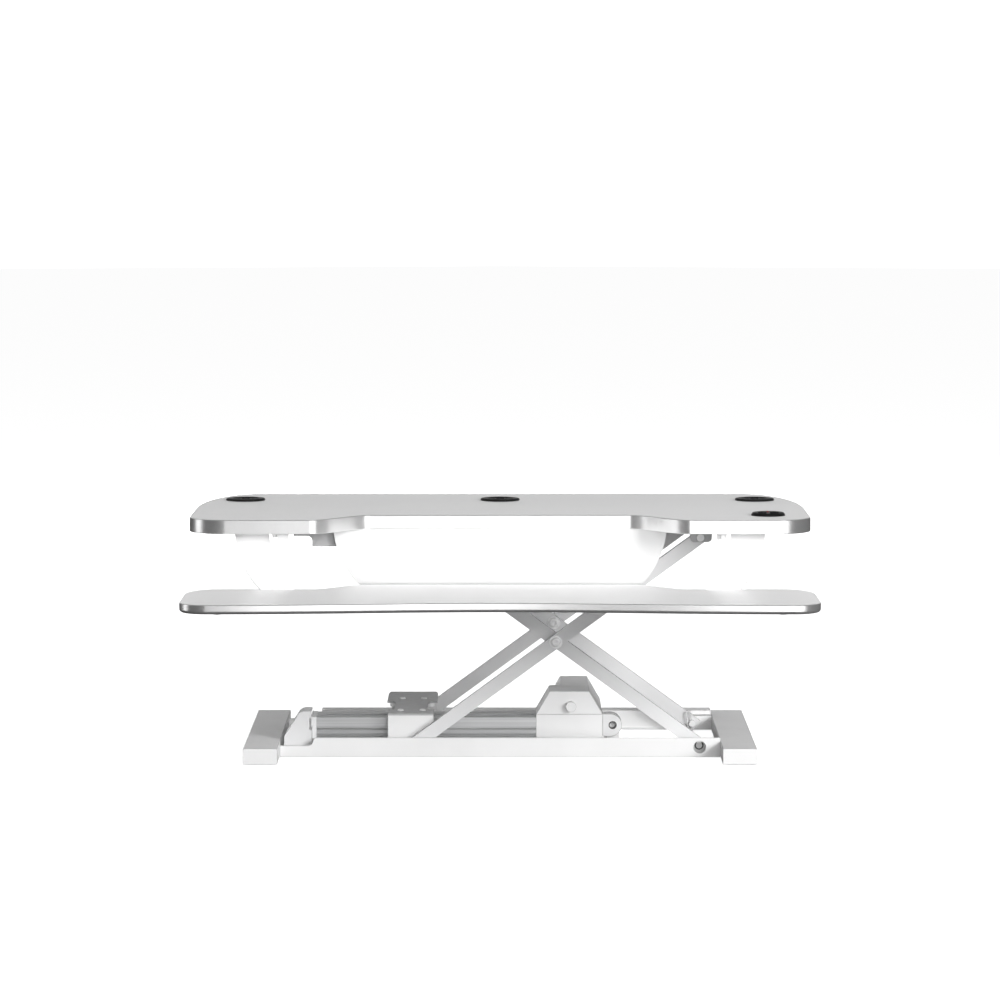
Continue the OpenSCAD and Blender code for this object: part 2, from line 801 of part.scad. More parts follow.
// A curved, leaning plate that carries the tray
hang_t = 8;
hang_w = 67;
hang_x = 519.6;
hang_low_y = behind(-18);
hang_high_y = behind(24);

module hanger(side) {
    lean = atan((hang_high_y - hang_low_y) / tray_drop);
    n = 14;
    edge = [for (i = [-1:n + 1]) let (z = tray_z + tray_drop * i / n)
        [hang_x - curl(z, under_z + 13, 167), (z - tray_z) / cos(lean)]];
    inner = [for (i = [len(edge) - 1:-1:0]) [edge[i][0] - hang_w, edge[i][1]]];
    x0 = hang_x - 140;
    mirror([side < 0 ? 1 : 0, 0, 0]) union() {
        intersection() {
            translate([0, hang_low_y, tray_z]) rotate([-lean, 0, 0]) rotate([90, 0, 0])
                translate([0, 0, -hang_t]) linear_extrude(hang_t) polygon(concat(edge, inner));
            block([x0, hang_x + 10], [hang_low_y - 20, hang_high_y + 40], [tray_z, under_z]);
        }
        block([hang_x - hang_w, hang_x - 1], [hang_high_y + 2, hang_high_y + 44],
              [under_z - 4, under_z]);
    }
}

module hanger_left() { color(white) hanger(-1); }
module hanger_right() { color(white) hanger(1); }

// A closed saddle clip for a lead, screwed on through the tab at its end
module cable_clip() {
    translate([0, 0, under_z]) union() {
        block([-16, 16], [-9, 9], [-3, 0]);
        block([-16, 6], [-9, 9], [-14, 0]);
        translate([11, 0, -9]) cylinder(r = 4.5, h = 6);
    }
}

module cable_clips() {
    color(white) {
        translate([-429.6, behind(12), 0]) mirror([1, 0, 0]) cable_clip();
        translate([434, behind(12), 0]) rotate([0, 0, -90]) cable_clip();
    }
}

// Tray outline: a gently hollow front edge, and a back edge that swells under the worktop's recess
function tray_half() = let (w = worktop_w / 2, y0 = -back_y, yb = behind(-7)) concat(
    [for (i = [0:10]) let (x = (w - 70) * i / 10) [x, y0 + 36 * pow(cos(90 * x / (w - 70)), 2)]],
    arc(w - 54, y0 + 54, 54, 54, -90, 0, 10),
    arc(w - 60, yb - 90, 60, 90, 0, 90, 12),
    blend(366, yb, 266, behind(80), 12));

module keyboard_tray() {
    color(pearl) translate([0, 0, tray_z - tray_t]) linear_extrude(tray_t)
        polygon(concat(tray_half(), mirrored(tray_half())));
}

module tray_bumpers() {
    color(black) for (x = [-536, 536]) translate([x, behind(-270), tray_z - tray_t - 2])
        cylinder(r = 8, h = 2);
}

// The electronics' case, with the mains inlet on its back
module control_box() {
    color(black) difference() {
        union() {
            block([-90, 50], [behind(215), behind(395)], [under_z - 26, under_z]);
            block([-100, 60], [behind(235), behind(255)], [under_z - 3, under_z]);
            block([-100, 60], [behind(355), behind(375)], [under_z - 3, under_z]);
        }
        block([-35, -5], [behind(385), behind(396)], [under_z - 21, under_z - 5]);
    }
}

frame_screw_places = concat(
    [for (x = [-hang_x + 22, -hang_x + 50, hang_x - 50, hang_x - 22]) [x, hang_high_y + 30, 4]],
    [for (x = [-390, 0, 300]) for (y = [web_y + 6.7, 2 * mid_y - web_y - 6.7]) [x, y, top_t]]);

module frame_screws() {
    color(steel) for (p = frame_screw_places)
        translate([p[0], p[1], under_z - p[2] - 2]) cylinder(r = 3.4, h = 2);
}

// ---------- grommets and control pad ----------

cap_r = grommet_hole_r - 5;
cap_low = worktop_z - 4;
flange_h = 4.5;                              // height of a grommet's flange above the worktop
pad_h = 6;                                   // height of the control pad above it

module grommet_rings() {
    color(black) for (x = grommet_x) translate([x, grommet_y, 0]) difference() {
        union() {
            translate([0, 0, worktop_z]) cylinder(r = grommet_r, h = flange_h - 2);
            translate([0, 0, worktop_z + flange_h - 2])
                cylinder(r1 = grommet_r, r2 = grommet_r - 2.5, h = 2);
            translate([0, 0, worktop_z - 22]) cylinder(r = grommet_hole_r - 0.2, h = 23);
        }
        translate([0, 0, worktop_z - 23]) cylinder(r = cap_r - 2, h = 30);
        translate([0, 0, cap_low]) cylinder(r = cap_r + fit, h = 30);
    }
}

// A loose cap that turns in its ring; the notch lets leads through
module grommet_cap(i) {
    color(black) translate([grommet_x[i], grommet_y, 0]) difference() {
        translate([0, 0, cap_low + fit]) cylinder(r = cap_r, h = 7.5);
        translate([-9, cap_r - 15, cap_low - 1]) cube([18, 20, 12]);
    }
}

module grommet_cap_left() { grommet_cap(0); }
module grommet_cap_middle() { grommet_cap(1); }
module grommet_cap_right() { grommet_cap(2); }

light_r = 1.4;

module control_pad() {
    color(black) difference() {
        union() {
            translate([pad_x, pad_y, worktop_z]) cylinder(r = pad_r, h = pad_h - 4);
            translate([pad_x, pad_y, worktop_z + pad_h - 4])
                cylinder(r1 = pad_r, r2 = pad_r - 3, h = 4);
            translate([pad_x, pad_y, worktop_z - 14]) cylinder(r = 21.8, h = 15);
        }
        for (dx = [-button_gap, button_gap])
            translate([pad_x + dx, pad_y - 4, worktop_z - 6]) cylinder(r = button_r + 0.1, h = 20);
        translate([pad_x, pad_y + 19, worktop_z]) cylinder(r = light_r, h = 10);
    }
}

module status_light() {
    color([0.8, 0.05, 0.03]) translate([pad_x, pad_y + 19, worktop_z])
        cylinder(r = light_r, h = pad_h + 0.4);
}

module button(dx) {
    color([0.08, 0.08, 0.09]) translate([pad_x + dx, pad_y - 4, worktop_z - 3.5])
        cylinder(r = button_r, h = pad_h + 4.7);
}

module button_up() { button(button_gap); }
module button_down() { button(-button_gap); }

foot_left();
foot_right();
foot_caps();
foot_pads();
front_rail();
rear_beam();
end_bracket();
rail_bolts();
actuator_rail();
rail_end_cap();
gearbox_housing();
gearbox_cover();
gearbox_plug();
motor_cover();
motor();
actuator_clevis();
actuator_mount();
pivot_lugs();
pivot_bushes();
pivot_pins();
hairpin_clips();
lead_screw();
screw_gear();
motor_worm();
inner_arm_front();
inner_arm_rear();
outer_arm_front();
outer_arm_rear();
center_bolts();
pivot_washers();
carriage_block();
carriage_plate();
carriage_screws();
carriage_axle();
glide_shoes();
drive_nut();
slider_blocks();
slider_axle();
worktop();
worktop_edge();
upper_rail_front();
upper_rail_rear();
hinge_brackets();
hinge_pins();
front_cover();
hanger_left();
hanger_right();
cable_clips();
keyboard_tray();
tray_bumpers();
control_box();
frame_screws();
grommet_rings();
grommet_cap_left();
grommet_cap_middle();
grommet_cap_right();
control_pad();
status_light();
button_up();
button_down();
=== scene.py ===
"""Looks of the standing desk converter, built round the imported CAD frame. Metres, +Z up."""

import json
import math

import bmesh
import bpy
from mathutils import Matrix, Vector


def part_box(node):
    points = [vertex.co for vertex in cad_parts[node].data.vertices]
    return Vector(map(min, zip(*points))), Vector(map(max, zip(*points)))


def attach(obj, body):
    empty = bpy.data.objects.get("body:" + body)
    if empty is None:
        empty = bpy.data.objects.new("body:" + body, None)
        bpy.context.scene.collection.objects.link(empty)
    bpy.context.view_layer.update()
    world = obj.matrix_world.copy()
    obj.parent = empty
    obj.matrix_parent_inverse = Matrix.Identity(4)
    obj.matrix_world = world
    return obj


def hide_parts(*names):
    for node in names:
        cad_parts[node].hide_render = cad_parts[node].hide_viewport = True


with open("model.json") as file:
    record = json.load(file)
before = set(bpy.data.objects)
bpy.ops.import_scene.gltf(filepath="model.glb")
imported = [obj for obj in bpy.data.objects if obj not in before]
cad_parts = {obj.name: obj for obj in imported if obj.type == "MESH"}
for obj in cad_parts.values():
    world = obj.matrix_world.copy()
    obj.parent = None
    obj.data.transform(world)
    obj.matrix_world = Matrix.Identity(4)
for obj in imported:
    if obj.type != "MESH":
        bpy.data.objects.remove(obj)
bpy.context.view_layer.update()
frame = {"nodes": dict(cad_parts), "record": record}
MM = 0.001


# ---------- camera, light and floor ----------

def add_camera():
    data = bpy.data.cameras.new("camera")
    data.lens, data.sensor_width = 160.0, 36.0
    data.clip_start, data.clip_end = 0.1, 200.0
    cam = bpy.data.objects.new("camera", data)
    cam.location = (-0.00015, -8.7837, 1.2696)
    cam.rotation_euler = (math.radians(90.0 - 4.9446), 0.0, 0.0)
    bpy.context.scene.collection.objects.link(cam)
    bpy.context.scene.camera = cam


# Soft lights round the object: name, azimuth and elevation in degrees, distance, width, height,
# watts, and whether glossy faces mirror it
LIGHTS = [
    ("key", 44.0, 19.0, 6.5, 2.4, 2.2, 330.0, False),
    ("front_soft", 4.0, 12.0, 7.0, 4.0, 2.4, 92.0, False),
    ("key_box", 22.0, 2.0, 6.5, 6.6, 3.6, 146.0, True),
    ("left_strip", -94.0, 6.0, 5.0, 2.0, 2.6, 26.0, True),
    ("left_fill", -35.0, 12.0, 6.5, 2.4, 2.6, 24.0, False),
    ("overhead", 0.0, 80.0, 4.2, 4.0, 3.4, 54.0, False),
    ("rim", 180.0, 9.0, 7.0, 8.0, 2.2, 30.0, True),
    ("back_fill", 196.0, 2.5, 7.0, 5.0, 2.2, 380.0, False),
]


def add_light(name, azimuth, elevation, distance, width, height, watts, mirrored_too):
    data = bpy.data.lights.new(name, "AREA")
    data.shape, data.size, data.size_y, data.energy = "RECTANGLE", width, height, watts
    lamp = bpy.data.objects.new(name, data)
    turn, rise = math.radians(azimuth), math.radians(elevation)
    aim = Vector((0.0, 0.0, 0.25))
    away = Vector((math.sin(turn) * math.cos(rise), -math.cos(turn) * math.cos(rise),
                   math.sin(rise)))
    lamp.location = aim + away * distance
    lamp.rotation_euler = away.to_track_quat("Z", "Y").to_euler()
    lamp.visible_camera = False
    lamp.visible_glossy = mirrored_too
    bpy.context.scene.collection.objects.link(lamp)


def add_world():
    """A dim sky, darkest below the horizon, which leaves the light to the soft boxes."""
    world = bpy.data.worlds.new("sky")
    bpy.context.scene.world = world
    world.use_nodes = True
    nodes, links = world.node_tree.nodes, world.node_tree.links
    nodes.clear()
    where = nodes.new("ShaderNodeTexCoord")
    split = nodes.new("ShaderNodeSeparateXYZ")
    shade = nodes.new("ShaderNodeMapRange")
    shade.interpolation_type = "SMOOTHSTEP"
    shade.inputs["From Min"].default_value = -0.15
    shade.inputs["From Max"].default_value = 0.35
    shade.inputs["To Min"].default_value = 0.05
    shade.inputs["To Max"].default_value = 0.14
    back = nodes.new("ShaderNodeBackground")
    back.inputs["Color"].default_value = (1.0, 1.0, 1.0, 1.0)
    out = nodes.new("ShaderNodeOutputWorld")
    links.new(where.outputs["Generated"], split.inputs[0])
    links.new(split.outputs["Z"], shade.inputs["Value"])
    links.new(shade.outputs["Result"], back.inputs["Strength"])
    links.new(back.outputs[0], out.inputs["Surface"])


def add_stage_piece(name, bm, glow, color):
    """Part of the white studio: seen by the camera, but it throws no light on the object."""
    mesh = bpy.data.meshes.new(name)
    bm.to_mesh(mesh)
    bm.free()
    piece = bpy.data.objects.new(name, mesh)
    bpy.context.scene.collection.objects.link(piece)
    mat = bpy.data.materials.new(name)
    mat.use_nodes = True
    shader = mat.node_tree.nodes["Principled BSDF"]
    shader.inputs["Base Color"].default_value = (color, color, color, 1.0)
    shader.inputs["Roughness"].default_value = 0.95
    shader.inputs["Specular IOR Level"].default_value = 0.0
    shader.inputs["Emission Color"].default_value = (1.0, 1.0, 1.0, 1.0)
    shader.inputs["Emission Strength"].default_value = glow
    mat.cycles.emission_sampling = "NONE"
    mesh.materials.append(mat)
    piece.visible_diffuse = False
    piece.visible_glossy = False
    return piece


def add_studio():
    bm = bmesh.new()
    s = 30.0
    bm.faces.new([bm.verts.new(p) for p in ((-s, -s, 0), (s, -s, 0), (s, s, 0), (-s, s, 0))])
    floor = add_stage_piece("floor", bm, 0.86, 0.8)
    floor.location.z = -0.0004
    bm = bmesh.new()
    bmesh.ops.create_icosphere(bm, subdivisions=3, radius=29.0)
    wall = add_stage_piece("backdrop", bm, 1.5, 0.0)
    wall.visible_shadow = False
    wall.visible_transmission = False


# ---------- materials ----------

class Look:
    """A node material with small helpers for noise, ramps and bumps."""

    def __init__(self, name, color, rough, metal=0.0, specular=0.5):
        self.mat = bpy.data.materials.new(name)
        self.mat.use_nodes = True
        self.nodes, self.links = self.mat.node_tree.nodes, self.mat.node_tree.links
        self.shader = self.nodes["Principled BSDF"]
        self.set("Base Color", (*color, 1.0))
        self.set("Roughness", rough)
        self.set("Metallic", metal)
        self.set("Specular IOR Level", specular)
        self.color = color
        self.where = self.nodes.new("ShaderNodeTexCoord").outputs["Object"]
        self.height = None

    def set(self, socket, value):
        self.shader.inputs[socket].default_value = value

    def noise(self, scale, detail=3.0, stretch=(1, 1, 1)):
        mapping = self.nodes.new("ShaderNodeMapping")
        mapping.inputs["Scale"].default_value = stretch
        tex = self.nodes.new("ShaderNodeTexNoise")
        tex.inputs["Scale"].default_value = scale
        tex.inputs["Detail"].default_value = detail
        self.links.new(self.where, mapping.inputs["Vector"])
        self.links.new(mapping.outputs[0], tex.inputs["Vector"])
        return tex.outputs["Fac"]

    def spread(self, value, low, high, start=0.3, end=0.7):
        ranged = self.nodes.new("ShaderNodeMapRange")
        ranged.inputs["From Min"].default_value = start
        ranged.inputs["From Max"].default_value = end
        ranged.inputs["To Min"].default_value = low
        ranged.inputs["To Max"].default_value = high
        self.links.new(value, ranged.inputs["Value"])
        return ranged.outputs["Result"]

    def tint(self, value, low, high):
        """Colour runs from low to high times the base colour as value runs from 0 to 1."""
        mix = self.nodes.new("ShaderNodeMix")
        mix.data_type = "RGBA"
        mix.inputs["A"].default_value = (*[c * low for c in self.color], 1.0)
        mix.inputs["B"].default_value = (*[min(1.0, c * high) for c in self.color], 1.0)
        self.links.new(value, mix.inputs["Factor"])
        return mix.outputs["Result"]

    def color_from(self, result):
        self.links.new(result, self.shader.inputs["Base Color"])

    def rough_from(self, value, low, high):
        self.links.new(self.spread(value, low, high), self.shader.inputs["Roughness"])

    def bump(self, value, depth, strength=1.0):
        bump = self.nodes.new("ShaderNodeBump")
        bump.inputs["Distance"].default_value = depth
        bump.inputs["Strength"].default_value = strength
        self.links.new(value, bump.inputs["Height"])
        if self.height is not None:
            self.links.new(self.height, bump.inputs["Normal"])
        self.height = bump.outputs["Normal"]
        self.links.new(self.height, self.shader.inputs["Normal"])


def powder_coat(name, color, rough=0.42):
    look = Look(name, color, rough, specular=0.45)
    look.color_from(look.tint(look.spread(look.noise(9.0, 4.0), 0.0, 1.0), 0.965, 1.02))
    look.rough_from(look.noise(60.0, 3.0), rough - 0.05, rough + 0.06)
    look.bump(look.noise(620.0, 2.0), 0.00005, 0.5)
    look.bump(look.noise(2600.0, 1.0), 0.00002, 0.35)
    return look.mat


def laminate(name, color, rough=0.5):
    look = Look(name, color, rough, specular=0.4)
    grain = look.noise(1500.0, 2.0)
    cloud = look.noise(5.0, 3.0)
    mixed = look.nodes.new("ShaderNodeMath")
    mixed.operation = "MULTIPLY"
    look.links.new(look.spread(grain, 0.9, 1.1, 0.25, 0.75), mixed.inputs[0])
    look.links.new(look.spread(cloud, 0.4, 0.6), mixed.inputs[1])
    look.color_from(look.tint(mixed.outputs[0], 0.955, 1.045))
    look.rough_from(look.noise(240.0, 3.0), rough - 0.05, rough + 0.07)
    look.bump(look.noise(1900.0, 3.0), 0.00003, 0.6)
    return look.mat


def gloss_band(name, color):
    """A hard, pearly foil that mirrors the lights softly."""
    look = Look(name, color, 0.3, metal=0.88)
    look.color_from(look.tint(look.spread(look.noise(30.0, 3.0), 0.0, 1.0), 0.97, 1.02))
    look.rough_from(look.noise(20.0, 2.0), 0.29, 0.33)
    return look.mat


def drawn_alloy(name, color):
    look = Look(name, color, 0.4, metal=0.7, specular=0.6)
    streak = look.noise(210.0, 4.0, (0.008, 1.0, 1.0))
    fine = look.noise(1100.0, 3.0, (0.02, 1.0, 1.0))
    look.color_from(look.tint(look.spread(streak, 0.0, 1.0), 0.86, 1.1))
    look.rough_from(fine, 0.34, 0.5)
    look.bump(fine, 0.00003, 0.4)
    return look.mat


def zinc_steel(name, color, rough=0.3):
    look = Look(name, color, rough, metal=0.3, specular=0.6)
    look.color_from(look.tint(look.spread(look.noise(90.0, 5.0), 0.0, 1.0), 0.8, 1.15))
    look.rough_from(look.noise(400.0, 4.0), rough - 0.08, rough + 0.12)
    look.bump(look.noise(1400.0, 3.0), 0.00003, 0.4)
    return look.mat


def moulded(name, color, rough=0.45, grain=0.00006):
    look = Look(name, color, rough, specular=0.45)
    look.color_from(look.tint(look.spread(look.noise(45.0, 4.0), 0.0, 1.0), 0.8, 1.25))
    look.rough_from(look.noise(300.0, 3.0), rough - 0.07, rough + 0.08)
    look.bump(look.noise(1700.0, 2.0), grain, 0.5)
    return look.mat


def red_lens(name, color):
    look = Look(name, color, 0.2, specular=0.5)
    look.color_from(look.tint(look.spread(look.noise(900.0, 2.0), 0.0, 1.0), 0.85, 1.1))
    return look.mat


MATERIALS = {
    "laminate": laminate("laminate", (0.90, 0.90, 0.90)),
    "edge_band": gloss_band("edge_band", (0.95, 0.95, 0.95)),
    "tray_shell": laminate("tray_shell", (0.96, 0.96, 0.96), 0.42),
    "white_paint": powder_coat("white_paint", (0.86, 0.86, 0.86)),
    # A greyer white paint; on the end bracket and the clevis its darker tone is also painted shade
    "pearl_paint": powder_coat("pearl_paint", (0.75, 0.75, 0.755), 0.38),
    # Painted shade: this grey stands in for the shade under the worktop and on the top faces of the
    # parts that wear it
    "grey_paint": powder_coat("grey_paint", (0.46, 0.46, 0.465), 0.4),
    "zinc_steel": zinc_steel("zinc_steel", (0.93, 0.93, 0.935), 0.36),
    "drawn_alloy": drawn_alloy("drawn_alloy", (0.62, 0.625, 0.63)),
    "black_plastic": moulded("black_plastic", (0.006, 0.006, 0.0065), 0.42),
    "nylon": moulded("nylon", (0.03, 0.03, 0.032), 0.5),
    "rubber": moulded("rubber", (0.03, 0.03, 0.03), 0.75, 0.00012),
    "brass": zinc_steel("brass", (0.62, 0.46, 0.22), 0.28),
    "red_lens": red_lens("red_lens", (0.5, 0.01, 0.006)),
}
# Painted shade: darker copies of these finishes go on their rounded edges as dark outlines,
# standing in for the shade along edges
EDGES = {
    "white_paint": powder_coat("white_paint_shaded_edge", (0.60, 0.60, 0.60)),
    "pearl_paint": powder_coat("pearl_paint_shaded_edge", (0.36, 0.36, 0.36), 0.38),
    "grey_paint": powder_coat("grey_paint_shaded_edge", (0.26, 0.26, 0.26), 0.4),
}
SLOT_OF = {part["node"]: part["material_slot"] for part in frame["record"]["subparts"]}
BODY_OF = {node: body for body, nodes in frame["record"]["behaviour"]["bodies"].items()
           for node in nodes}


# ---------- mesh helpers ----------

def finish_piece(bm, name, node, sharp=35.0, instead=True, shade_edges=False):
    """Turns a bmesh into a piece on a CAD node's body, in its finish, and instead of it."""
    bmesh.ops.recalc_face_normals(bm, faces=bm.faces)
    mesh = bpy.data.meshes.new(name)
    bm.to_mesh(mesh)
    bm.free()
    mesh.polygons.foreach_set("use_smooth", [True] * len(mesh.polygons))
    mesh.set_sharp_from_angle(angle=math.radians(sharp))
    piece = bpy.data.objects.new(name, mesh)
    bpy.context.scene.collection.objects.link(piece)
    mesh.materials.append(MATERIALS[SLOT_OF[node]])
    # A darker copy of the finish goes on as a second material: painted shade for the rounded edges
    if shade_edges:
        mesh.materials.append(EDGES[SLOT_OF[node]])
    even = piece.modifiers.new("even_normals", "WEIGHTED_NORMAL")
    even.keep_sharp = True
    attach(piece, BODY_OF[node])
    if instead:
        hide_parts(node)
    return piece


def softened(node, radius, segments=2, sharp=40.0):
    """The CAD node's own shape with its hard edges rounded off."""
    bm = bmesh.new()
    bm.from_mesh(frame["nodes"][node].data)
    bmesh.ops.remove_doubles(bm, verts=bm.verts, dist=1e-6)
    bmesh.ops.dissolve_limit(bm, angle_limit=math.radians(0.6), verts=bm.verts, edges=bm.edges)
    hard = [e for e in bm.edges
            if len(e.link_faces) == 2 and e.calc_face_angle(0.0) > math.radians(sharp)]
    # Finishes with a darker edge copy get it on their bevel faces as painted shade
    shade_edges = SLOT_OF[node] in EDGES
    bmesh.ops.bevel(bm, geom=hard, offset=radius, offset_type="OFFSET", segments=segments,
                    profile=0.5, affect="EDGES", clamp_overlap=True, material=int(shade_edges))
    return finish_piece(bm, node + "_soft", node, shade_edges=shade_edges)


def arc(cx, cy, rx, ry, start, end, count):
    """Points along part of an ellipse, angles in degrees."""
    turns = [math.radians(start + (end - start) * i / count) for i in range(count + 1)]
    return [(cx + rx * math.cos(a), cy + ry * math.sin(a)) for a in turns]


def blend(x0, y0, x1, y1, count):
    """An S-shaped line between two points, level at both ends."""
    steps = [i / count for i in range(count + 1)]
    return [(x0 + (x1 - x0) * t, y0 + (y1 - y0) * t * t * (3 - 2 * t)) for t in steps]


def mirrored(points):
    return points + [(-x, y) for x, y in reversed(points)]


def tidy_loop(points, least=0.4 * MM):
    """Drops points that lie almost on the one before."""
    kept = []
    for p in points:
        if not kept or math.dist(p, kept[-1]) > least:
            kept.append(p)
    if math.dist(kept[0], kept[-1]) < least:
        kept.pop()
    return kept


def inset(points, distance):
    """The closed outline moved inwards by a distance; points run anticlockwise."""
    moved = []
    for i, p in enumerate(points):
        a, b = Vector(points[i - 1]), Vector(points[(i + 1) % len(points)])
        along = (b - a).normalized()
        moved.append((p[0] - along.y * distance, p[1] + along.x * distance))
    return moved


def bridge(bm, low, high):
    """Quads between two closed rows of the same number of points."""
    for k in range(len(low)):
        j = (k + 1) % len(low)
        bm.faces.new((low[k], low[j], high[j], high[k]))


def centre(node):
    low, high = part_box(node)
    return (low + high) / 2


def loft(bm, outline, section, closed=False):
    """Rows of points along an outline, one row for each (inset, height) of the section."""
    rows = [[bm.verts.new((x, y, z)) for x, y in inset(outline, d)] for d, z in section]
    pairs = list(zip(rows, rows[1:])) + ([(rows[-1], rows[0])] if closed else [])
    for low, high in pairs:
        bridge(bm, low, high)


def ring_of(bm, cx, cy, z, r, count=48):
    return [bm.verts.new((cx + r * math.cos(2 * math.pi * i / count),
                          cy + r * math.sin(2 * math.pi * i / count), z)) for i in range(count)]


def close_loop(bm, verts):
    return [bm.edges.get((a, b)) or bm.edges.new((a, b))
            for a, b in zip(verts, verts[1:] + verts[:1])]


def lathe(bm, profile, cx=0.0, cy=0.0, count=64, matrix=None):
    """A solid of revolution about Z from (radius, height) pairs; radius 0 closes an end."""
    made = []
    rows = []
    for r, z in profile:
        if r < 1e-9:
            row = [bm.verts.new((cx, cy, z))]
        else:
            row = ring_of(bm, cx, cy, z, r, count)
        rows.append(row)
        made += row
    for a, b in zip(rows, rows[1:]):
        for i in range(count):
            j = (i + 1) % count
            if len(a) == 1 and len(b) > 1:
                bm.faces.new((a[0], b[i], b[j]))
            elif len(b) == 1 and len(a) > 1:
                bm.faces.new((a[i], a[j], b[0]))
            elif len(a) > 1:
                bm.faces.new((a[i], a[j], b[j], b[i]))
    if matrix is not None:
        bmesh.ops.transform(bm, matrix=matrix, verts=made)
    return made


def rounded(depth, low, high, r0, r1, steps=5):
    """(inset, height) pairs for an edge face with a rounded foot of r0 and a rounded head of r1."""
    foot = [(depth + r0 - r0 * math.sin(math.radians(90 * i / steps)),
             low + r0 - r0 * math.cos(math.radians(90 * i / steps))) for i in range(steps + 1)]
    head = [(depth + r1 - r1 * math.cos(math.radians(90 * i / steps)),
             high - r1 + r1 * math.sin(math.radians(90 * i / steps))) for i in range(steps + 1)]
    return foot + head


# ---------- worktop and tray ----------

TOP_LOW, TOP_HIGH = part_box("worktop_edge")
TRAY_LOW, TRAY_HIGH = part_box("keyboard_tray")
BAND = 2.0 * MM                 # thickness of the worktop's edge band
GROMMET_IN = 158 * MM           # grommets' distance from the back edge
GROMMET_HOLE = 31 * MM
PAD_HOLE = 22 * MM
CURL_RISE = 18 * MM             # the curl's level point, above the worktop's underside
CURL_R = 190 * MM
COVER_HALF = 330 * MM           # half the cover's width at its level point
COVER_SHEET = 2.2 * MM


def worktop_outline():
    w, back, wing = TOP_HIGH.x, TOP_HIGH.y, TOP_LOW.y
    recess = wing + 108 * MM
    half = (blend(255 * MM, recess, 372 * MM, wing, 40)
            + arc(w - 75 * MM, wing + 75 * MM, 75 * MM, 75 * MM, -90, 0, 28)
            + arc(w - 110 * MM, back - 330 * MM, 110 * MM, 330 * MM, 0, 90, 60))
    return tidy_loop(mirrored(half))


def tray_outline():
    w, front = TRAY_HIGH.x, TRAY_LOW.y
    side_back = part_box("foot_caps")[0].y - 7 * MM
    bulge = TRAY_HIGH.y
    span = w - 70 * MM
    hollow = [(span * i / 30, front + 36 * MM * math.cos(math.pi / 2 * i / 30) ** 2)
              for i in range(31)]
    half = (hollow + arc(w - 54 * MM, front + 54 * MM, 54 * MM, 54 * MM, -90, 0, 24)
            + arc(w - 60 * MM, side_back - 90 * MM, 60 * MM, 90 * MM, 0, 90, 24)
            + blend(366 * MM, side_back, 266 * MM, bulge, 30))
    return tidy_loop(mirrored(half))


def grommet_centres():
    return [(centre(n).x, TOP_HIGH.y - GROMMET_IN)
            for n in ("grommet_cap_left", "grommet_cap_middle", "grommet_cap_right")]


def make_worktop():
    """The board, open under the grommets and the control pad."""
    low, high = TOP_LOW.z, TOP_HIGH.z
    outer = inset(worktop_outline(), BAND)
    pad = centre("control_pad")
    holes = [(x, y, GROMMET_HOLE) for x, y in grommet_centres()]
    holes.append((pad.x, pad.y, PAD_HOLE))
    bm = bmesh.new()
    rims = [[bm.verts.new((x, y, low)) for x, y in outer]]
    rims += [ring_of(bm, x, y, low, r) for x, y, r in holes]
    edges = [e for rim in rims for e in close_loop(bm, rim)]
    bmesh.ops.triangle_fill(bm, use_beauty=True, use_dissolve=False, edges=edges)
    grown = bmesh.ops.extrude_face_region(bm, geom=list(bm.faces))
    moved = [v for v in grown["geom"] if isinstance(v, bmesh.types.BMVert)]
    bmesh.ops.translate(bm, vec=(0, 0, high - low), verts=moved)
    finish_piece(bm, "worktop_board", "worktop")


def make_edge_band():
    """The glossy band round the worktop, with rounded edges."""
    bm = bmesh.new()
    r = 1.4 * MM
    section = rounded(0.0, TOP_LOW.z, TOP_HIGH.z, r, r)
    section += [(BAND, TOP_HIGH.z), (BAND, TOP_LOW.z)]
    loft(bm, worktop_outline(), section, closed=True)
    finish_piece(bm, "worktop_band", "worktop_edge")


def make_tray():
    """The wrapped board: flat faces, and an edge that is rounded far under at its foot."""
    outline = tray_outline()
    section = rounded(0.0, TRAY_LOW.z, TRAY_HIGH.z, 6.5 * MM, 1.6 * MM, 8)
    bm = bmesh.new()
    loft(bm, outline, section, closed=True)
    edge = finish_piece(bm, "keyboard_tray_edge", "keyboard_tray", instead=False)
    edge.data.materials[0] = MATERIALS["edge_band"]
    bm = bmesh.new()
    low, high = [[bm.verts.new((x, y, z)) for x, y in inset(outline, depth)]
                 for depth, z in (section[0], section[-1])]
    for row in (low, high):
        bmesh.ops.triangle_fill(bm, use_beauty=True, use_dissolve=False,
                                edges=close_loop(bm, row))
    bridge(bm, low, high)
    finish_piece(bm, "keyboard_tray_board", "keyboard_tray")


# ---------- cover, grommets and control pad ----------

def curl(z, level, radius):
    """How far a hung sheet's edge has curved in at a height."""
    return radius - math.sqrt(radius * radius - (level - z) ** 2)


